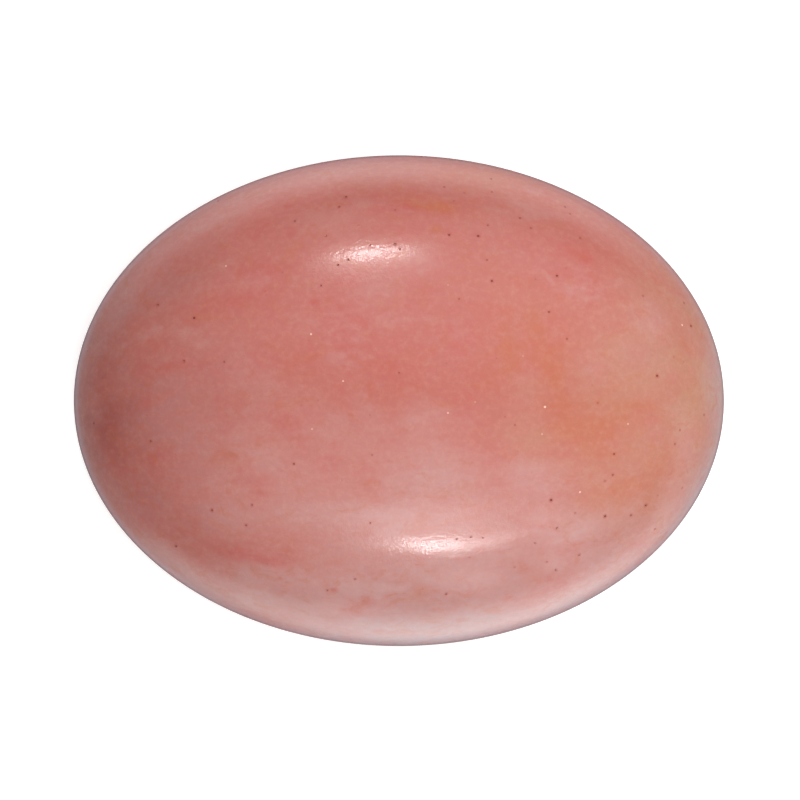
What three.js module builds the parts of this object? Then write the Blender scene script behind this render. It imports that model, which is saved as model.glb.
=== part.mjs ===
// An oval cabochon of peach opal, one solid stone: a flat ground back, a narrow bevel
// round its edge, a low girdle wall and a polished dome.
// Millimetres, +Z up. The back lies on z = 0, the origin is at its centre, and the
// long axis runs along X.
import * as THREE from "three";

// Driving dimensions: the outline is a true ellipse.
const LENGTH = 20.0;
const WIDTH = 15.1;
const HEIGHT = 5.9;
// The stone is widest at the top of the girdle wall, this far above the back.
const GIRDLE_HEIGHT = 1.3;
// The bevel takes the sharp edge off the back, and the girdle wall leans out above it.
const BEVEL_HEIGHT = 0.32;
const BEVEL_WIDTH = 0.42;
const WALL_LEAN = 0.16;

// Facets: round the outline, up the girdle wall, and from the girdle to the crown.
const OUTLINE_STEPS = 96;
const WALL_STEPS = 3;
const DOME_STEPS = 20;

const HALF_LENGTH = LENGTH / 2;
const HALF_WIDTH = WIDTH / 2;
const DOME_HEIGHT = HEIGHT - GIRDLE_HEIGHT;

// Half of the stone's section on its long axis, from the centre of the back, out along
// it, up the bevel and the wall, and over the dome to the crown.
function sectionPoints() {
  const bevelTop = HALF_LENGTH - WALL_LEAN;
  const backEdge = bevelTop - BEVEL_WIDTH;
  const back = [new THREE.Vector2(0, 0), new THREE.Vector2(backEdge, 0)];

  // The wall is a shallow curve that arrives upright at the widest line.
  const wall = new THREE.QuadraticBezierCurve(
    new THREE.Vector2(bevelTop, BEVEL_HEIGHT),
    new THREE.Vector2(HALF_LENGTH, (BEVEL_HEIGHT + GIRDLE_HEIGHT) / 2),
    new THREE.Vector2(HALF_LENGTH, GIRDLE_HEIGHT),
  );

  // The dome is a quarter of an ellipse. Its steps are even in angle, so they close up
  // towards the girdle, where it bends most.
  const dome = new THREE.EllipseCurve(
    0, GIRDLE_HEIGHT, HALF_LENGTH, DOME_HEIGHT, 0, Math.PI / 2,
  );
  const domePoints = dome.getPoints(DOME_STEPS).slice(1);
  domePoints.at(-1).set(0, HEIGHT);
  return [...back, ...wall.getPoints(WALL_STEPS), ...domePoints];
}

// The section turned about the upright axis, then narrowed across the stone, so that
// every level is an ellipse of the same proportions.
function cabochonGeometry() {
  const geometry = new THREE.LatheGeometry(sectionPoints(), OUTLINE_STEPS);
  geometry.rotateX(Math.PI / 2);
  geometry.scale(1, HALF_WIDTH / HALF_LENGTH, 1);
  geometry.computeVertexNormals();
  return geometry;
}

const peachOpal = new THREE.MeshStandardMaterial({
  name: "peach_opal",
  color: 0xcc8577,
  roughness: 0.16,
  metalness: 0,
});

const stone = new THREE.Mesh(cabochonGeometry(), peachOpal);
stone.name = "opal_cabochon";

const gemstone = new THREE.Group();
gemstone.name = "peach_opal_gemstone";
gemstone.add(stone);

export default gemstone;
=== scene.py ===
"""The looks of an oval peach opal cabochon: the polished stone, its pale table, the soft
studio light and the camera. Sizes are named in millimetres and Blender works in metres.
The stone lies on its flat back at the origin, with its length along X and the dome up Z."""

import math
from collections import namedtuple
from itertools import groupby

import bpy
import numpy as np
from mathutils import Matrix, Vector


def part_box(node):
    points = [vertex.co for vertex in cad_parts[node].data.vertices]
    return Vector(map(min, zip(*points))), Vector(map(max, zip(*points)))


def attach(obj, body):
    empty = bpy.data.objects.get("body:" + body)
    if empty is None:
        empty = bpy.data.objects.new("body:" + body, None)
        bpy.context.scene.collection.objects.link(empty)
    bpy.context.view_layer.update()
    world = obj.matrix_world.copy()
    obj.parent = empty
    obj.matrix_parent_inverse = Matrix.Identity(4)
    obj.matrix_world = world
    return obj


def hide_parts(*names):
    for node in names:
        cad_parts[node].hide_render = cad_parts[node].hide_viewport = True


MM = 0.001
NODE = "opal_cabochon"

# The stone's section in millimetres, as the solid has it.
GIRDLE_HEIGHT = 1.3
BEVEL_HEIGHT = 0.32
BEVEL_WIDTH = 0.42
WALL_LEAN = 0.16
# The lap leaves its two edges a little round.
EDGE_ROUNDING = 0.07

# Rows of the mesh, from the centre of the back to the crown, and round the outline.
BACK_ROWS = 56
EDGE_ROWS = 5
BEVEL_ROWS = 4
WALL_ROWS = 16
DOME_ROWS = 150
ROUND_STEPS = 384

# Hand polishing leaves the dome a hair out of true, in long shallow waves.
POLISH_WAVE = 0.006

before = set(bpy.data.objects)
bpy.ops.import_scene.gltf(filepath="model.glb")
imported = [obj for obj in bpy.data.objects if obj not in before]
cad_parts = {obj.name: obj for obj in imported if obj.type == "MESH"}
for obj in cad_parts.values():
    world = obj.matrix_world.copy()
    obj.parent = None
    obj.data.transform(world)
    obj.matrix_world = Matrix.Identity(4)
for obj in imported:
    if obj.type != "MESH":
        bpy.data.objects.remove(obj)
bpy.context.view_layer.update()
# The far corner of the solid's box gives its half length, half width and height.
HALF_LENGTH, HALF_WIDTH, HEIGHT = list(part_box(NODE))[1] / MM
DOME_HEIGHT = HEIGHT - GIRDLE_HEIGHT

# The photograph: the camera's height over the girdle in millimetres, the frame in
# pixels, its scale, and the pixel where the stone's centre sits.
CAMERA_HEIGHT = 260.0
PHOTO_PX = 800
PX_PER_MM = 32.5
STONE_PX = (398.9, 400.7)


# The stone


def straight(start, end, steps):
    """Points from start up to but not including end: start + (end - start) t."""
    t = np.arange(steps)[:, None] / steps
    return np.array(start) + (np.array(end) - np.array(start)) * t


def bent(start, pull, end, steps):
    """A quadratic curve from start up to but not including end, pulled towards a point:
    (1 - t) squared start + 2 t (1 - t) pull + t squared end."""
    t = np.arange(steps)[:, None] / steps
    start, pull, end = np.array(start), np.array(pull), np.array(end)
    return (1 - t) ** 2 * start + 2 * t * (1 - t) * pull + t**2 * end


def section():
    """Half of the section on the long axis as (reach, height) rows: along the flat back,
    round its edge, up the bevel, round the next edge, up the wall, and over the dome,
    which is a quarter of an ellipse in even steps of angle."""
    bevel_top = np.array([HALF_LENGTH - WALL_LEAN, BEVEL_HEIGHT])
    back_edge = np.array([bevel_top[0] - BEVEL_WIDTH, 0.0])
    girdle = np.array([HALF_LENGTH, GIRDLE_HEIGHT])
    wall_pull = np.array([HALF_LENGTH, (BEVEL_HEIGHT + GIRDLE_HEIGHT) / 2])

    def towards(point, goal):
        """The point EDGE_ROUNDING along the way from one point to another."""
        return point + (goal - point) / np.linalg.norm(goal - point) * EDGE_ROUNDING

    before_edge = towards(back_edge, np.zeros(2))
    after_edge = towards(back_edge, bevel_top)
    before_wall = towards(bevel_top, back_edge)
    wall_foot = towards(bevel_top, wall_pull)
    angle = np.linspace(0, math.pi / 2, DOME_ROWS + 1)
    dome = np.stack([HALF_LENGTH * np.cos(angle), GIRDLE_HEIGHT + DOME_HEIGHT * np.sin(angle)], 1)
    return np.concatenate([
        straight((0, 0), before_edge, BACK_ROWS),
        bent(before_edge, back_edge, after_edge, EDGE_ROWS),
        straight(after_edge, before_wall, BEVEL_ROWS),
        bent(before_wall, bevel_top, wall_foot, EDGE_ROWS),
        bent(wall_foot, wall_pull, girdle, WALL_ROWS),
        dome,
    ])


def polish_wave(x, y, z):
    """Height of the polish's long waves: a sum of slow sines across the dome, which
    fades to nothing at the girdle, so the outline stays true."""
    waves = (
        np.sin(0.55 * x + 0.4) * np.cos(0.62 * y - 0.3)
        + 0.6 * np.sin(0.95 * x - 1.1 * y + 1.3)
        + 0.4 * np.cos(1.6 * x + 0.9 * y)
    )
    rise = np.clip((z - GIRDLE_HEIGHT) / DOME_HEIGHT, 0, 1)
    return POLISH_WAVE * waves * rise


def turned(rows):
    """The section turned about the upright axis and narrowed across the stone:
    (reach cos t, reach sin t times width over length, height), rows by steps."""
    t = np.arange(ROUND_STEPS) / ROUND_STEPS * 2 * math.pi
    x = rows[:, :1] * np.cos(t)
    y = rows[:, :1] * np.sin(t) * HALF_WIDTH / HALF_LENGTH
    z = np.repeat(rows[:, 1:], ROUND_STEPS, axis=1)
    return np.stack([x, y, z + polish_wave(x, y, z)], -1)


def closed_faces(rows):
    """Quads between neighbouring rows of a turned grid, and a fan of triangles at the
    two ends, where the grid's first and last rows have shrunk to one point each."""
    step = np.arange(ROUND_STEPS)
    after = (step + 1) % ROUND_STEPS
    ring = np.arange(rows - 3)[:, None] * ROUND_STEPS + 1
    quads = np.stack(
        [ring + step, ring + ROUND_STEPS + step, ring + ROUND_STEPS + after, ring + after], -1
    ).reshape(-1, 4)[:, ::-1]
    last = 1 + (rows - 3) * ROUND_STEPS
    crown = last + ROUND_STEPS
    foot_fan = np.stack([np.zeros_like(step), after + 1, step + 1], -1)
    crown_fan = np.stack([np.full_like(step, crown), last + step, last + after], -1)
    return quads.tolist() + foot_fan.tolist() + crown_fan.tolist()


def stone_mesh():
    """The stone as one closed mesh, with a single point at the middle of the back and
    at the crown."""
    grid = turned(section())
    inner = grid[1:-1].reshape(-1, 3)
    points = np.concatenate([grid[:1, 0], inner, grid[-1:, 0]])
    mesh = bpy.data.meshes.new("polished_stone")
    mesh.from_pydata(points * MM, [], closed_faces(len(grid)))
    mesh.shade_smooth()
    mesh.update()
    return mesh


# Pores and specks

# A pore's radius in millimetres, for the faintest and for a clear one.
PORE_RADII = (0.024, 0.036)
# Where the photograph shows a pore, in its pixels, and how deep it looks: 1 is a clear
# dark pit and less is a faint one.
PORE_PX = [
    (346, 197, 1), (339, 207, 0.7), (295, 221, 0.6), (326, 236, 0.7), (321, 286, 0.5),
    (218, 201, 0.7), (158, 305, 1), (194, 318, 1), (184, 361, 1), (224, 362, 0.4),
    (399, 373, 0.5), (338, 265, 0.8), (348, 260, 1), (370, 245, 0.7), (395, 244, 0.8),
    (400, 249, 0.7), (491, 179, 0.7), (444, 187, 0.6), (464, 193, 0.5), (492, 192, 0.6),
    (454, 201, 0.4), (395, 210, 0.5), (488, 225, 0.6), (449, 235, 1), (478, 236, 1),
    (487, 260, 0.7), (492, 281, 1), (565, 207, 0.5), (570, 214, 0.5), (520, 218, 0.6),
    (531, 228, 0.6), (580, 238, 0.6), (557, 276, 1), (549, 312, 0.7), (567, 339, 0.6),
    (643, 296, 0.4), (684, 303, 0.7), (691, 326, 1), (657, 376, 1), (459, 299, 0.4),
    (94, 423, 1), (151, 441, 0.8), (294, 464, 0.7), (372, 455, 0.3), (252, 505, 0.6),
    (212, 510, 1), (246, 525, 0.7), (176, 546, 0.9), (370, 523, 0.6), (355, 579, 0.7),
    (327, 590, 0.8), (598, 403, 0.3), (505, 417, 0.3), (515, 425, 0.35), (704, 415, 0.4),
    (680, 430, 0.5), (675, 444, 0.4), (614, 454, 1), (613, 475, 0.6), (605, 481, 0.5),
    (682, 488, 0.5), (551, 500, 1), (646, 505, 1), (575, 513, 0.5), (605, 516, 1.1),
    (631, 515, 0.6), (557, 528, 0.7), (655, 529, 0.6), (535, 543, 0.5), (579, 555, 0.8),
    (547, 562, 0.5), (515, 567, 0.6), (556, 570, 0.7), (446, 594, 0.7), (457, 539, 0.4),
    (471, 537, 0.4), (483, 538, 0.4),
]
# Pale pinpoint specks, as (x, y, brightness) in the same way.
SPECK_PX = [
    (311, 334, 1), (343, 381, 0.9), (226, 266, 0.6), (448, 413, 1), (545, 407, 1),
    (475, 402, 0.2), (628, 424, 0.5), (542, 434, 0.4), (580, 492, 0.8), (685, 479, 0.6),
    (682, 325, 0.9), (523, 356, 0.35), (448, 285, 0.3), (312, 429, 0.4),
]
# A speck's radius, in millimetres.
SPECK_RADIUS = 0.038

# Faint pores that the photograph doesn't settle: how many on the dome, on the back and on
# the wall, and how near one may come to another, in millimetres.
PORE_SEED = 11
DOME_EXTRAS = 50
BACK_EXTRAS = 90
WALL_EXTRAS = 50
PORE_GAP = 0.36
# How far out they lie, as a share of the way to the outline: at most, and on the wall.
PORE_SPREAD = 0.98
WALL_SPREAD = 0.997
# How deep they look, from the faintest to the clearest: on the dome, and elsewhere.
DOME_EXTRA_DEPTHS = (0.05, 0.2)
OTHER_EXTRA_DEPTHS = (0.3, 1.0)


def on_dome(x, y):
    """The dome's height over (x, y)."""
    inside = 1 - (x / HALF_LENGTH) ** 2 - (y / HALF_WIDTH) ** 2
    return GIRDLE_HEIGHT + DOME_HEIGHT * np.sqrt(np.maximum(inside, 0))


def from_photo(px, py):
    """The point of the dome that the camera sees at a pixel. What stands nearer the
    camera than the girdle looks larger, so it is drawn in by its share of the way up."""
    x, y = (px - STONE_PX[0]) / PX_PER_MM, (STONE_PX[1] - py) / PX_PER_MM
    shrink = 1 - (on_dome(x, y) - GIRDLE_HEIGHT) / CAMERA_HEIGHT
    x, y = x * shrink, y * shrink
    return np.stack([x, y, on_dome(x, y)], -1)


def all_pores():
    """Every pore and speck as (x, y, z, radius, depth) rows, with depth below nothing
    for a pale speck. The seen ones come first, then seeded ones spread evenly. All the
    seen pores stay, and any other that would crowd an earlier one is left out."""
    chance = np.random.default_rng(PORE_SEED)
    seen, specks = np.array(PORE_PX, float), np.array(SPECK_PX, float)
    small, large = PORE_RADII
    rows = [
        np.column_stack([from_photo(seen[:, 0], seen[:, 1]),
                         small + (large - small) * seen[:, 2], seen[:, 2]]),
        np.column_stack([from_photo(specks[:, 0], specks[:, 1]),
                         np.full(len(specks), SPECK_RADIUS), -specks[:, 2]]),
    ]
    turn = chance.uniform(0, 2 * math.pi, DOME_EXTRAS + BACK_EXTRAS + WALL_EXTRAS)
    out = PORE_SPREAD * np.sqrt(chance.uniform(0, 1, len(turn)))
    out[-WALL_EXTRAS:] = WALL_SPREAD
    x, y = HALF_LENGTH * out * np.cos(turn), HALF_WIDTH * out * np.sin(turn)
    z = on_dome(x, y)
    z[DOME_EXTRAS:] = 0
    z[-WALL_EXTRAS:] = chance.uniform(BEVEL_HEIGHT, GIRDLE_HEIGHT, WALL_EXTRAS)
    depth = chance.uniform(*DOME_EXTRA_DEPTHS, len(turn))
    depth[DOME_EXTRAS:] = chance.uniform(*OTHER_EXTRA_DEPTHS, BACK_EXTRAS + WALL_EXTRAS)
    rows.append(np.column_stack([x, y, z, small + (large - small) * depth, depth]))
    rows = np.concatenate(rows)
    gaps = np.linalg.norm(rows[:, None, :3] - rows[None, :, :3], axis=-1)
    crowded = (np.tril(gaps < PORE_GAP, -1)).any(1)
    crowded[: len(seen)] = False
    return rows[~crowded]


def mark_pores(mesh, pores):
    """Gives each corner of the mesh the way to the pore nearest its face, in that
    pore's radii, and the pore's depth, so that the material can draw each pore sharp
    and round at any size of face."""
    points = np.empty(len(mesh.vertices) * 3)
    mesh.vertices.foreach_get("co", points)
    points = points.reshape(-1, 3) / MM
    centres = np.empty(len(mesh.polygons) * 3)
    mesh.polygons.foreach_get("center", centres)
    centres = centres.reshape(-1, 3) / MM
    corners = np.empty(len(mesh.loops), np.int32)
    mesh.loops.foreach_get("vertex_index", corners)
    sides = np.empty(len(mesh.polygons), np.int32)
    mesh.polygons.foreach_get("loop_total", sides)
    spots = pores[:, :3]
    # Squared distances, less the square of each centre, which is the same for every spot.
    squared = (spots**2).sum(1) - 2 * centres @ spots.T
    nearest = np.repeat(squared.argmin(1), sides)
    offset = (spots[nearest] - points[corners]) / pores[nearest, 3:4]
    to_pore = mesh.attributes.new("to_pore", "FLOAT_VECTOR", "CORNER")
    to_pore.data.foreach_set("vector", offset.ravel())
    depth = mesh.attributes.new("pore_depth", "FLOAT", "CORNER")
    depth.data.foreach_set("value", pores[nearest, 4])


# Drawing with nodes


class Recipe:
    """A material's node tree, written as steps: each step takes sockets or numbers and
    gives back the socket that carries its result."""

    def __init__(self, owner, surface="Principled BSDF"):
        owner.use_nodes = True
        self.tree = owner.node_tree
        self.surface = self.tree.nodes[surface]

    def plug(self, value, socket):
        """Links a socket that carries a result to another, or sets a number on it."""
        if isinstance(value, bpy.types.NodeSocket):
            self.tree.links.new(value, socket)
        else:
            socket.default_value = value

    def attribute(self, name, output="Vector"):
        """What the mesh carries under this name."""
        node = self.tree.nodes.new("ShaderNodeAttribute")
        node.attribute_name = name
        return node.outputs[output]

    def place(self):
        """The point on the stone, in millimetres."""
        node = self.tree.nodes.new("ShaderNodeTexCoord")
        return self.vector("SCALE", node.outputs["Object"], scale=1 / MM)

    def vector(self, operation, a, b=None, scale=None, output="Vector"):
        """The vector operation of this name on a, and on b or a scale."""
        node = self.tree.nodes.new("ShaderNodeVectorMath")
        node.operation = operation
        self.plug(a, node.inputs[0])
        if b is not None:
            self.plug(b, node.inputs[1])
        if scale is not None:
            self.plug(scale, node.inputs["Scale"])
        return node.outputs[output]

    def math(self, operation, a, b=None, clamp=False):
        """The operation of this name on one or two numbers, kept from 0 to 1 if clamped."""
        node = self.tree.nodes.new("ShaderNodeMath")
        node.operation = operation
        node.use_clamp = clamp
        self.plug(a, node.inputs[0])
        if b is not None:
            self.plug(b, node.inputs[1])
        return node.outputs[0]

    def noise(self, where, per_mm, detail=2.0, rough=0.5, output="Fac"):
        """Soft noise from 0 to 1 over a place in millimetres: detail is how many finer
        layers lie on it, and rough is how strong each is to the one before."""
        node = self.tree.nodes.new("ShaderNodeTexNoise")
        self.plug(where, node.inputs["Vector"])
        node.inputs["Scale"].default_value = per_mm
        node.inputs["Detail"].default_value = detail
        node.inputs["Roughness"].default_value = rough
        return node.outputs[output]

    def remap(self, value, start, end, to_start=0.0, to_end=1.0, soft=True):
        """The value carried from the range start to end over to the range to_start to
        to_end, and held at its ends, along a soft S or along a straight line."""
        node = self.tree.nodes.new("ShaderNodeMapRange")
        node.interpolation_type = "SMOOTHSTEP" if soft else "LINEAR"
        self.plug(value, node.inputs["Value"])
        self.plug(start, node.inputs["From Min"])
        self.plug(end, node.inputs["From Max"])
        self.plug(to_start, node.inputs["To Min"])
        self.plug(to_end, node.inputs["To Max"])
        return node.outputs["Result"]

    def mix(self, share, a, b):
        """The colour that share of the way from colour a to colour b."""
        node = self.tree.nodes.new("ShaderNodeMix")
        node.data_type = "RGBA"
        node.clamp_factor = True
        self.plug(share, node.inputs["Factor"])
        self.plug(a, node.inputs[6])
        self.plug(b, node.inputs[7])
        return node.outputs[2]

    def blob(self, where, centre, turn, reach, most, core=0.0):
        """The value most at the centre of a turned ellipsoid and out to the share core
        of its reach, and from there falling smoothly to 0 at its edge."""
        node = self.tree.nodes.new("ShaderNodeTexGradient")
        node.gradient_type = "SPHERICAL"
        node.texture_mapping.vector_type = "TEXTURE"
        node.texture_mapping.translation = centre
        node.texture_mapping.rotation = turn
        node.texture_mapping.scale = reach
        self.plug(where, node.inputs["Vector"])
        return self.remap(node.outputs["Fac"], 0.0, 1.0 - core, 0.0, most)

    def bump(self, height):
        """The way the surface faces once its height in millimetres rises and falls."""
        node = self.tree.nodes.new("ShaderNodeBump")
        node.inputs["Distance"].default_value = MM
        self.plug(height, node.inputs["Height"])
        return node.outputs[0]


# The opal

# Colours of the opal, as linear red, green and blue.
CORAL = (0.50, 0.155, 0.125, 1)
RED = (0.50, 0.105, 0.085, 1)
ORANGE = (0.49, 0.135, 0.058, 1)
TAN = (0.48, 0.218, 0.14, 1)
LILAC = (0.53, 0.29, 0.27, 1)
ROSE = (0.46, 0.20, 0.185, 1)
# Painted reflection: the grey mauve of the pale surroundings, seen on the rim.
PAINTED_RIM_REFLECTION = (0.45, 0.32, 0.32, 1)
# A dark red: the fine dark grain, and painted shade at the left end.
DEEP_RED_AND_PAINTED_SHADE = (0.30, 0.065, 0.06, 1)
STAIN = (0.42, 0.05, 0.025, 1)
PIT = (0.12, 0.01, 0.004, 1)
BLUSH = (0.59, 0.20, 0.175, 1)
PEARL = (0.62, 0.36, 0.34, 1)
CHALK = (0.85, 0.62, 0.52, 1)

# Relief of the surface, in millimetres.
RIPPLE = 0.005
PEEL = 0.0035
LAP_MARK = 0.005
PIT_DEPTH = 0.03

# How fine each pattern is, in features to the millimetre.
DRIFT_PER_MM = 0.5
PATCHES_PER_MM = 1.1
CLOUDS_PER_MM = 0.75
WISPS_PER_MM = 2.2
GRAIN_PER_MM = 5.0
RIPPLE_PER_MM = 2.6
PEEL_PER_MM = 11.0
# The marks of the lap, in the same way: along the stone, across it and up.
LAP_MARKS_PER_MM = (2.0, 42.0, 42.0)
# The patches, clouds and wisps are longer along the stone than across it.
DRAWN_OUT = (0.45, 1.0, 1.0)
# How widely the drift carries each pattern to and fro, in millimetres.
FLUSH_DRIFT = 1.7
SPOT_DRIFT = 0.3
CLOUD_DRIFT = 0.9
WISP_DRIFT = 2.0

# A veil of colour lies where a pattern is high or low: the pattern's value where it begins
# and where it is full, the share of the colour that it takes over there, and its colour.
Veil = namedtuple("Veil", "begins full share colour")
CLOUD_VEILS = [Veil(0.5, 0.8, 0.4, LILAC), Veil(0.5, 0.25, 0.4, RED)]
WISP_VEILS = [Veil(0.5, 0.74, 0.4, ORANGE)]
GRAIN_VEILS = [Veil(0.4, 0.8, 0.07, CHALK), Veil(0.5, 0.2, 0.06, DEEP_RED_AND_PAINTED_SHADE)]

# Where a pit, the stain round it and a pale speck begin and where they are full, in the
# pore's radii; how strong the stain is; and how ragged the grain makes them, in radii.
PIT_EDGE = (1.15, 0.45)
STAIN_EDGE = (2.8, 0.8)
SPECK_EDGE = (1.1, 0.3)
STAIN_STRENGTH = 0.5
RAGGED = 0.3

# How rough the polish is, from clear to smeared, and how rough the ground back is.
POLISH_ROUGHNESS = (0.05, 0.1)
GROUND_ROUGHNESS = 0.42
# The heights between which the polish gives way to the ground finish, going down.
GROUND_BELOW = (BEVEL_HEIGHT * 1.3, BEVEL_HEIGHT * 0.9)
# How strongly the stone bends light, the share of the light that goes into it, and how
# far red, green and blue light spread there, in millimetres.
REFRACTION = 1.5
LIGHT_TAKEN_IN = 0.6
LIGHT_SPREAD = (1.6, 0.8, 0.6)

# How weak and how strong the patches make a flush, and how deep a flush or a spot goes,
# as a share of its longer reach.
PATCH_STRENGTHS = (0.55, 1.25)
FLUSH_DEPTH = 0.8
# A flush is a cloud of colour in the stone: its middle and its reach along and across, in
# millimetres seen from above; how far it is turned, in degrees; how strong it is; and its
# colour.
Flush = namedtuple("Flush", "x y along across turn strength colour")
FLUSHES = [
    # the right end turns tan, with an orange heart
    Flush(9.2, 0.2, 5.4, 6.6, 0, 1.0, TAN),
    Flush(6.8, 2.4, 3.2, 2.6, 20, 0.4, TAN),
    Flush(7.0, -2.8, 3.6, 2.6, 20, 0.5, TAN),
    Flush(6.9, 0.4, 2.2, 1.4, 0, 0.2, TAN),
    Flush(4.6, -1.2, 2.2, 1.3, -10, 0.6, TAN),
    Flush(5.8, -0.9, 2.4, 2.0, -40, 0.6, ORANGE),
    Flush(4.6, 1.2, 1.0, 2.6, 18, 0.5, ORANGE),
    Flush(7.3, -0.4, 1.8, 0.8, 8, 0.4, ORANGE),
    Flush(7.2, -2.8, 2.6, 1.4, 30, 0.55, ORANGE),
    Flush(3.8, 2.6, 3.4, 1.9, -30, 0.6, ORANGE),
    Flush(3.1, 1.1, 1.5, 1.4, 0, 0.4, ORANGE),
    # the lower half is milky
    Flush(0.5, -4.4, 9.0, 3.4, 0, 0.5, LILAC),
    Flush(0.9, -2.2, 2.8, 1.5, -15, 0.55, LILAC),
    Flush(6.0, -4.5, 4.0, 2.2, 25, 0.6, LILAC),
    Flush(8.8, -3.4, 1.8, 3.2, -35, 0.55, LILAC),
    Flush(0.0, -6.0, 5.8, 1.8, 0, 0.9, LILAC),
    Flush(-4.2, -5.8, 2.8, 1.3, -20, 0.8, LILAC),
    Flush(-2.2, -0.9, 2.8, 1.2, -10, 0.4, LILAC),
    Flush(3.0, -5.4, 2.4, 1.2, 0, 0.5, LILAC),
    Flush(1.0, -0.6, 2.0, 1.2, 0, 0.45, LILAC),
    Flush(4.3, -2.6, 1.8, 1.0, 0, 0.6, LILAC),
    Flush(5.2, -4.4, 1.9, 1.6, 0, 0.75, LILAC),
    Flush(-4.0, -1.7, 1.9, 1.1, -40, 0.45, LILAC),
    # greyer rose on the left, and painted shade in dark red at its end
    Flush(-6.4, 0.2, 3.8, 2.6, 0, 0.65, ROSE),
    Flush(-6.6, -1.2, 3.4, 1.8, -20, 0.75, ROSE),
    Flush(-6.6, -3.3, 3.6, 1.9, -25, 0.65, ROSE),
    Flush(-7.2, 3.8, 3.4, 2.0, 35, 0.8, ROSE),
    # painted shade: the left end darkened as though the light fell off there
    Flush(-8.9, -0.9, 3.0, 3.9, 10, 0.48, DEEP_RED_AND_PAINTED_SHADE),
    Flush(-9.4, 1.6, 2.0, 2.6, -10, 0.25, DEEP_RED_AND_PAINTED_SHADE),
    # redder wisps
    Flush(0.8, 3.0, 8.0, 3.6, 0, 0.55, RED),
    Flush(-4.4, 3.6, 2.4, 1.2, 15, 0.6, RED),
    Flush(5.8, 3.6, 2.4, 1.5, -35, 0.6, RED),
    Flush(0.4, 5.9, 2.4, 1.0, -5, 0.7, RED),
    Flush(0.9, 5.9, 1.3, 0.6, -15, 0.8, ORANGE),
    Flush(-4.4, -4.7, 2.2, 0.6, -5, 0.7, RED),
    Flush(-7.6, -3.8, 1.6, 0.6, -40, 0.45, RED),
    Flush(-0.9, 1.3, 3.2, 1.0, -10, 0.5, RED),
    Flush(1.8, 1.6, 1.4, 0.7, -30, 0.4, RED),
    Flush(-3.4, -0.9, 1.4, 0.45, -35, 0.4, RED),
    Flush(-5.2, -1.6, 1.2, 0.5, 0, 0.35, ORANGE),
    Flush(4.2, -5.4, 1.0, 0.4, 10, 0.35, ORANGE),
]
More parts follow.
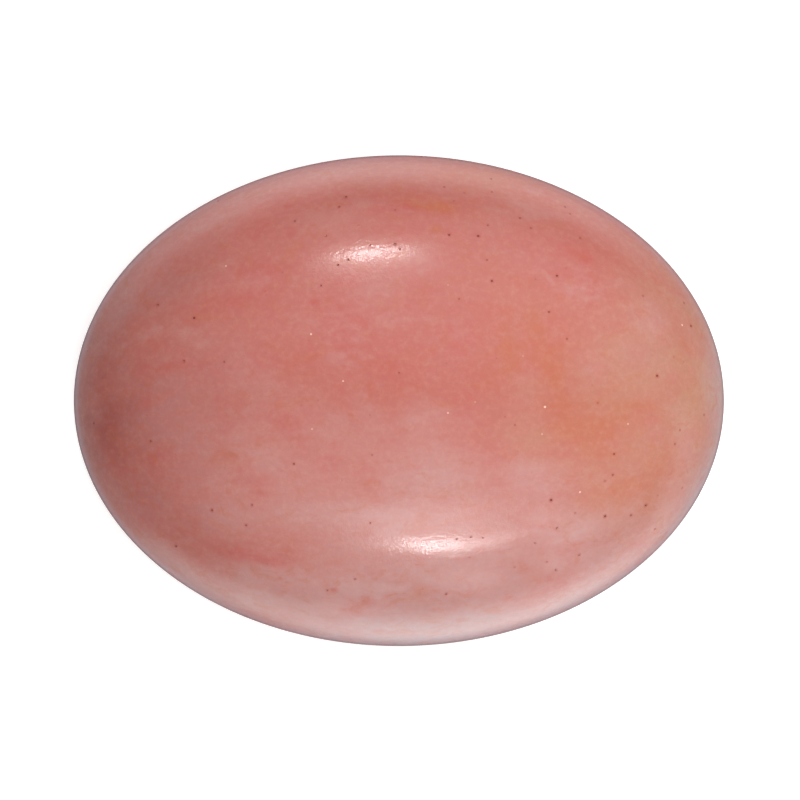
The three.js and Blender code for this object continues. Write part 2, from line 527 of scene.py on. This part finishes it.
# Flushes and small spots, in the same way, which stay almost where they are put.
SPOTS = [
    # a greyer mauve on the rim: painted reflection of the pale surroundings
    Flush(0.5, -7.4, 7.0, 1.6, 0, 0.85, PAINTED_RIM_REFLECTION),
    Flush(6.4, -5.9, 4.2, 1.3, 35, 0.75, PAINTED_RIM_REFLECTION),
    Flush(9.5, -2.6, 3.4, 1.5, 68, 0.85, PAINTED_RIM_REFLECTION),
    Flush(9.8, 0.4, 3.0, 0.9, 90, 0.5, PAINTED_RIM_REFLECTION),
    Flush(4.6, -6.5, 3.0, 0.8, 27, 0.5, PAINTED_RIM_REFLECTION),
    Flush(2.8, -6.6, 1.8, 0.6, 8, 0.5, PAINTED_RIM_REFLECTION),
    Flush(8.4, -4.0, 1.6, 0.8, 50, 0.4, PAINTED_RIM_REFLECTION),
    Flush(-6.4, -5.7, 3.6, 0.9, -32, 0.45, PAINTED_RIM_REFLECTION),
    Flush(-8.4, 2.8, 2.6, 0.8, 58, 0.2, PAINTED_RIM_REFLECTION),
    # warmer and brighter on its upper side
    Flush(2.6, 7.0, 4.2, 1.0, -15, 0.5, ORANGE),
    Flush(1.1, 7.1, 2.2, 0.7, 0, 0.4, RED),
    Flush(4.1, 6.4, 1.7, 0.7, -25, 0.45, RED),
    Flush(-0.6, 6.9, 2.4, 0.8, 5, 0.6, CORAL),
    Flush(-4.6, 5.6, 5.0, 1.3, 27, 0.6, BLUSH),
    Flush(-7.6, 4.0, 2.6, 1.0, 45, 0.4, BLUSH),
    Flush(-2.2, 5.5, 2.4, 0.9, 12, 0.15, PEARL),
    # paler on its lower side
    Flush(-2.8, -5.6, 4.4, 0.8, -10, 0.4, PEARL),
    Flush(-1.4, -6.25, 1.8, 0.5, 0, 0.6, PEARL),
    Flush(2.2, -5.5, 1.7, 0.8, 0, 0.6, PEARL),
    Flush(4.8, -5.1, 1.6, 0.7, 25, 0.4, PEARL),
    Flush(8.4, -2.5, 1.8, 0.7, 65, 0.25, PEARL),
    Flush(8.8, -1.1, 1.3, 0.8, 80, 0.3, PEARL),
    Flush(8.5, -4.0, 1.5, 0.6, 50, 0.4, PEARL),
    Flush(-6.9, -5.0, 3.0, 0.8, -36, 0.4, PEARL),
    Flush(4.4, -3.6, 0.9, 0.8, 0, 0.4, PEARL),
    Flush(5.0, -4.3, 1.3, 1.2, 0, 0.35, PEARL),
    # orange streaks
    Flush(4.2, 2.3, 1.3, 0.4, -75, 0.35, ORANGE),
    Flush(4.9, 0.3, 1.7, 0.4, -68, 0.45, ORANGE),
    Flush(5.3, -1.0, 1.3, 0.8, -30, 0.4, ORANGE),
    Flush(7.0, -0.2, 1.3, 0.3, 3, 0.35, ORANGE),
    Flush(3.3, 1.6, 1.6, 0.5, -86, 0.35, ORANGE),
    Flush(6.3, -2.9, 1.5, 1.0, 0, 0.45, ORANGE),
    Flush(0.6, -5.9, 0.6, 0.9, 0, 0.3, ORANGE),
    # soft patches
    Flush(-1.7, 2.2, 1.7, 1.0, -55, 0.95, RED),
    Flush(-4.1, 3.7, 1.4, 0.8, 0, 0.7, RED),
    Flush(-2.8, -0.5, 1.0, 0.6, 0, 0.35, RED),
    Flush(-4.1, -2.5, 0.9, 0.6, 0, 0.3, RED),
    Flush(-0.6, 3.3, 1.5, 0.9, 10, 0.35, LILAC),
    Flush(-1.0, -0.2, 1.4, 0.6, -50, 0.3, LILAC),
    Flush(-2.8, -2.1, 2.2, 1.0, 0, 0.3, LILAC),
    Flush(-2.9, -3.4, 2.4, 1.0, 0, 0.35, LILAC),
    Flush(-4.6, 0.8, 1.4, 0.9, 0, 0.35, LILAC),
    Flush(-5.2, -3.5, 1.4, 0.9, 0, 0.3, LILAC),
    Flush(3.8, -2.1, 1.5, 0.6, 0, 0.5, LILAC),
    Flush(7.7, 2.5, 1.2, 1.0, 0, 0.45, LILAC),
    Flush(-7.8, -3.1, 2.2, 1.3, -50, 0.5, ROSE),
    Flush(-8.4, 0.9, 1.4, 1.6, 0, 0.45, ROSE),
    Flush(-6.6, -0.6, 1.8, 0.9, 0, 0.3, ROSE),
    Flush(-8.1, -1.4, 1.4, 0.9, -70, 0.3, ROSE),
    Flush(6.3, -5.0, 1.5, 0.5, 32, 0.5, ROSE),
    Flush(7.6, 1.4, 1.5, 0.6, 10, 0.3, ROSE),
    Flush(5.3, -2.0, 1.2, 1.3, 0, 0.4, TAN),
    Flush(6.3, 0.0, 1.8, 1.0, 0, 0.4, TAN),
    Flush(5.4, 0.6, 0.9, 0.8, 0, 0.4, TAN),
    Flush(3.4, -0.7, 1.8, 1.0, 0, 0.25, TAN),
    Flush(4.0, 0.3, 1.1, 0.7, 0, 0.35, TAN),
    Flush(8.2, 3.5, 1.2, 1.4, -20, 0.5, TAN),
    # spots
    Flush(5.63, 4.36, 0.6, 0.45, 20, 1.0, RED),
    Flush(5.2, 4.6, 0.7, 0.45, 0, 0.35, RED),
    Flush(-2.56, 3.02, 0.2, 0.2, 0, 0.95, RED),
    Flush(1.13, 5.2, 0.35, 0.25, 0, 0.9, ORANGE),
    Flush(-3.3, 5.1, 0.3, 0.35, 30, 0.45, RED),
    Flush(-3.4, 5.95, 0.3, 0.22, 0, 0.4, RED),
    Flush(0.66, 6.2, 0.3, 0.2, 0, 0.4, RED),
    Flush(-1.95, -5.75, 0.2, 0.16, 0, 0.5, RED),
    Flush(-4.8, 3.6, 0.2, 0.2, 0, 0.4, LILAC),
    Flush(6.75, 2.9, 0.28, 0.2, 0, 0.35, LILAC),
    Flush(4.55, 3.75, 0.5, 0.12, -50, 0.3, LILAC),
    Flush(-5.3, 4.1, 0.14, 0.14, 0, 0.4, TAN),
]


def tinted(recipe, colour, where, flushes, patchy=None):
    """The colour with flushes laid over it in turn, stronger and weaker in patches. A
    run of flushes of one colour goes on in one layer, and what still shows through it is
    the product of what shows through each."""
    for tint, run in groupby(flushes, key=lambda flush: flush.colour):
        bare = 1.0
        for flush in run:
            centre = (flush.x, flush.y, float(on_dome(flush.x, flush.y)))
            deep = max(flush.along, flush.across) * FLUSH_DEPTH
            reach = (flush.along, flush.across, deep)
            turn = (0, 0, math.radians(flush.turn))
            share = recipe.blob(where, centre, turn, reach, flush.strength)
            if patchy is not None:
                share = recipe.math("MULTIPLY", share, patchy)
            bare = recipe.math("MULTIPLY", bare, recipe.math("SUBTRACT", 1.0, share, clamp=True))
        colour = recipe.mix(bare, tint, colour)
    return colour


def veiled(recipe, colour, pattern, veils):
    """The colour with each veil mixed in turn, by how far the pattern has gone from the
    value where the veil begins to the value where it is full."""
    for veil in veils:
        share = recipe.remap(pattern, veil.begins, veil.full, 0.0, veil.share)
        colour = recipe.mix(share, colour, veil.colour)
    return colour


def opal():
    """The stone's material: its colour, its pores, its finish and its relief."""
    material = bpy.data.materials.new("peach_opal")
    recipe = Recipe(material)
    surface = recipe.surface.inputs
    where = recipe.place()
    drawn_out = recipe.vector("MULTIPLY", where, DRAWN_OUT)

    # Colour: coral, with flushes, spots, clouds, wisps and a fine grain
    drift = recipe.noise(where, DRIFT_PER_MM, 3.0, 0.6, output="Color")
    drift = recipe.vector("SUBTRACT", drift, (0.5, 0.5, 0.5))

    def drifted(start, far):
        """The place moved by the drift, at most half of far each way."""
        return recipe.vector("ADD", start, recipe.vector("SCALE", drift, scale=far))

    wandering = drifted(where, FLUSH_DRIFT)
    patches = recipe.noise(drawn_out, PATCHES_PER_MM, 3.0, 0.65)
    patchy = recipe.remap(patches, 0.32, 0.68, *PATCH_STRENGTHS)
    colour = tinted(recipe, CORAL, wandering, FLUSHES, patchy)
    colour = tinted(recipe, colour, drifted(where, SPOT_DRIFT), SPOTS)
    clouds = recipe.noise(drifted(drawn_out, CLOUD_DRIFT), CLOUDS_PER_MM, 5.0, 0.62)
    colour = veiled(recipe, colour, clouds, CLOUD_VEILS)
    wisps = recipe.noise(drifted(drawn_out, WISP_DRIFT), WISPS_PER_MM, 4.0, 0.65)
    colour = veiled(recipe, colour, wisps, WISP_VEILS)
    grain = recipe.noise(where, GRAIN_PER_MM, 3.0, 0.7)
    colour = veiled(recipe, colour, grain, GRAIN_VEILS)

    # Pores: dark pits with a red stain round them, and pale specks
    away = recipe.vector("LENGTH", recipe.attribute("to_pore"), output="Value")
    away = recipe.math("ADD", away, recipe.remap(grain, 0.3, 0.7, -RAGGED, RAGGED))
    depth = recipe.attribute("pore_depth", "Fac")
    dark = recipe.math("MAXIMUM", depth, 0.0)
    pale = recipe.math("MAXIMUM", recipe.math("MULTIPLY", depth, -1.0), 0.0)
    pit = recipe.math("MULTIPLY", recipe.remap(away, *PIT_EDGE), dark)
    stain = recipe.math("MULTIPLY", recipe.remap(away, *STAIN_EDGE, 0.0, STAIN_STRENGTH), dark)
    speck = recipe.math("MULTIPLY", recipe.remap(away, *SPECK_EDGE), pale)
    colour = recipe.mix(stain, colour, STAIN)
    colour = recipe.mix(pit, colour, PIT)
    colour = recipe.mix(speck, colour, CHALK)
    recipe.plug(colour, surface["Base Color"])

    # Finish: a hand polish with faint smears on the dome, and a ground back
    height = recipe.vector("DOT_PRODUCT", where, (0, 0, 1), output="Value")
    ground = recipe.remap(height, *GROUND_BELOW)
    smears = recipe.remap(clouds, 0.35, 0.7, *POLISH_ROUGHNESS)
    rough = recipe.remap(ground, 0.0, 1.0, smears, GROUND_ROUGHNESS, soft=False)
    recipe.plug(rough, surface["Roughness"])

    # Relief, in millimetres: the polish's ripple and fine marks, the lapped back, the pits
    ripple = recipe.math("MULTIPLY", recipe.noise(where, RIPPLE_PER_MM, 3.0, 0.65), RIPPLE)
    peel = recipe.math("MULTIPLY", recipe.noise(where, PEEL_PER_MM, 2.0, 0.6), PEEL)
    ripple = recipe.math("ADD", ripple, peel)
    lap = recipe.noise(recipe.vector("MULTIPLY", where, LAP_MARKS_PER_MM), 1.0, 2.0)
    lap = recipe.math("MULTIPLY", lap, recipe.math("MULTIPLY", ground, LAP_MARK))
    pits = recipe.math("MULTIPLY", pit, -PIT_DEPTH)
    relief = recipe.math("ADD", recipe.math("ADD", ripple, lap), pits)
    recipe.plug(recipe.bump(relief), surface["Normal"])

    surface["IOR"].default_value = REFRACTION
    surface["Subsurface Weight"].default_value = LIGHT_TAKEN_IN
    surface["Subsurface Radius"].default_value = LIGHT_SPREAD
    surface["Subsurface Scale"].default_value = MM
    return material


stone = bpy.data.objects.new("polished_stone", stone_mesh())
bpy.context.scene.collection.objects.link(stone)
mark_pores(stone.data, all_pores())
stone.data.materials.append(opal())
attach(stone, "root")
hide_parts(NODE)


# The table, the light and the camera


def flat_piece(name, corners, material):
    """A flat four-sided piece of the studio, from its corners in millimetres."""
    mesh = bpy.data.meshes.new(name)
    mesh.from_pydata([Vector(corner) * MM for corner in corners], [], [(0, 1, 2, 3)])
    mesh.materials.append(material)
    piece = bpy.data.objects.new(name, mesh)
    bpy.context.scene.collection.objects.link(piece)
    return piece


WHITE = (1, 1, 1, 1)
# The table: how far it reaches from its middle, in millimetres, its colour, how rough it
# is, and how brightly it glows to come out white.
TABLE_REACH = 4000.0
TABLE_COLOUR = (0.8, 0.8, 0.8, 1)
TABLE_ROUGHNESS = 0.8
TABLE_GLOW = 0.45

table_material = bpy.data.materials.new("pale_table")
table_recipe = Recipe(table_material)
table_recipe.surface.inputs["Base Color"].default_value = TABLE_COLOUR
table_recipe.surface.inputs["Roughness"].default_value = TABLE_ROUGHNESS
table_recipe.surface.inputs["Emission Color"].default_value = WHITE
table_recipe.surface.inputs["Emission Strength"].default_value = TABLE_GLOW
table = flat_piece(
    "table",
    [
        (-TABLE_REACH, -TABLE_REACH, 0),
        (TABLE_REACH, -TABLE_REACH, 0),
        (TABLE_REACH, TABLE_REACH, 0),
        (-TABLE_REACH, TABLE_REACH, 0),
    ],
    table_material,
)
# The photograph's white is cut out round a stone that stood on something duller, so the
# stone takes its light from the studio below it and not from the white.
table.visible_diffuse = False
table.visible_glossy = False

# The camera looks straight down, and sees what is from 10 mm to 10 m away.
camera = bpy.data.objects.new("camera", bpy.data.cameras.new("camera"))
bpy.context.scene.collection.objects.link(camera)
bpy.context.scene.camera = camera
frame_mm = PHOTO_PX / PX_PER_MM
camera.data.lens = camera.data.sensor_width * CAMERA_HEIGHT / frame_mm
camera.location = Vector((
    (PHOTO_PX / 2 - STONE_PX[0]) / PX_PER_MM,
    (STONE_PX[1] - PHOTO_PX / 2) / PX_PER_MM,
    CAMERA_HEIGHT + GIRDLE_HEIGHT,
)) * MM
camera.data.clip_start = 0.01
camera.data.clip_end = 10

# How bright the surroundings are, by direction: LEVEL plus each SLOPE times the
# direction's X, Y or Z, plus, above the horizon, BANKS times its Z and the size of its Y,
# and nowhere less than nothing.
SKY_LEVEL = -0.36
SKY_SLOPE = (0.85, 0.18, 1.02)
SKY_BANKS = 2.7

# Oval soft lamps: the azimuth and the elevation of each one's middle, its half width and
# half height, and how far it leans, all in degrees; how bright it is, in times the paper
# white; and where its fade starts, as a share of the way out.
Lamp = namedtuple("Lamp", "azimuth elevation half_wide half_tall lean power fade_from")
LAMPS = [
    # behind the stone: a narrow bright lamp in a wide veil
    Lamp(95.9, 40.2, 9.2, 2.8, 0, 20.0, 0.0),
    Lamp(96.2, 42.0, 15.0, 12.0, 0, 3.2, 0.2),
    # in front of it: a bright lamp, its tail to the right, and two veils
    Lamp(-82.4, 41.3, 10.0, 2.6, -20, 23.0, 0.0),
    Lamp(-72.0, 37.5, 14.0, 3.2, 0, 7.0, 0.0),
    Lamp(-78.0, 42.0, 19.0, 6.0, -8, 3.2, 0.0),
    Lamp(-82.0, 50.0, 21.0, 14.0, 0, 3.1, 0.05),
    # the low glow of the room behind the stone and in front of it
    Lamp(88.0, -22.0, 74.0, 38.0, 0, 1.4, 0.05),
    Lamp(-78.0, -22.0, 75.0, 41.0, 0, 2.6, 0.15),
]
# The dull ground, by how far the direction points down: where its light rises from
# nothing, where it goes from bright to dim, and how bright and how dim it is.
GROUND_RISES = (-0.15, 0.35)
GROUND_DIMS = (0.84, 0.99)
GROUND_GLOW = (0.64, 0.17)
# What comes from far below the horizon is a touch blue: where the tint begins and where
# it is full, in the same way, and the tint.
TINT_RISES = (0.55, 0.95)
GROUND_TINT = (0.98, 1.0, 1.13, 1)

studio = bpy.data.worlds.new("studio")
bpy.context.scene.world = studio
sky = Recipe(studio, "Background")
direction = sky.tree.nodes.new("ShaderNodeTexCoord").outputs["Generated"]


def along(line):
    """How far the direction points along a line."""
    return sky.vector("DOT_PRODUCT", direction, tuple(line), output="Value")


def lamp_glow(lamp):
    """The lamp's light by direction: full inside its oval, falling smoothly to nothing
    at its edge. The oval is where an ellipsoid round the lamp's middle cuts the sphere
    of directions."""
    azimuth, elevation = math.radians(lamp.azimuth), math.radians(lamp.elevation)
    middle = (
        math.cos(elevation) * math.cos(azimuth),
        math.cos(elevation) * math.sin(azimuth),
        math.sin(elevation),
    )
    turn = (math.radians(lamp.lean), -elevation, azimuth)
    reach = (1.0, math.sin(math.radians(lamp.half_wide)), math.sin(math.radians(lamp.half_tall)))
    return sky.blob(direction, middle, turn, reach, lamp.power, lamp.fade_from)


banks = sky.math("MULTIPLY", sky.math("ABSOLUTE", along((0, 1, 0))), along((0, 0, SKY_BANKS)))
glow = sky.math("ADD", along(SKY_SLOPE), SKY_LEVEL)
glow = sky.math("ADD", glow, sky.math("MAXIMUM", banks, 0.0))
glow = sky.math("MAXIMUM", glow, 0.0)
down = along((0, 0, -1))
under = sky.remap(down, *GROUND_DIMS, *GROUND_GLOW)
under = sky.math("MULTIPLY", under, sky.remap(down, *GROUND_RISES))
glow = sky.math("ADD", glow, under)
for lamp in LAMPS:
    glow = sky.math("ADD", glow, lamp_glow(lamp))
sky.plug(glow, sky.surface.inputs["Strength"])
tint = sky.mix(sky.remap(down, *TINT_RISES), WHITE, GROUND_TINT)
sky.plug(tint, sky.surface.inputs["Color"])


bpy.context.scene.view_settings.view_transform = "Standard"
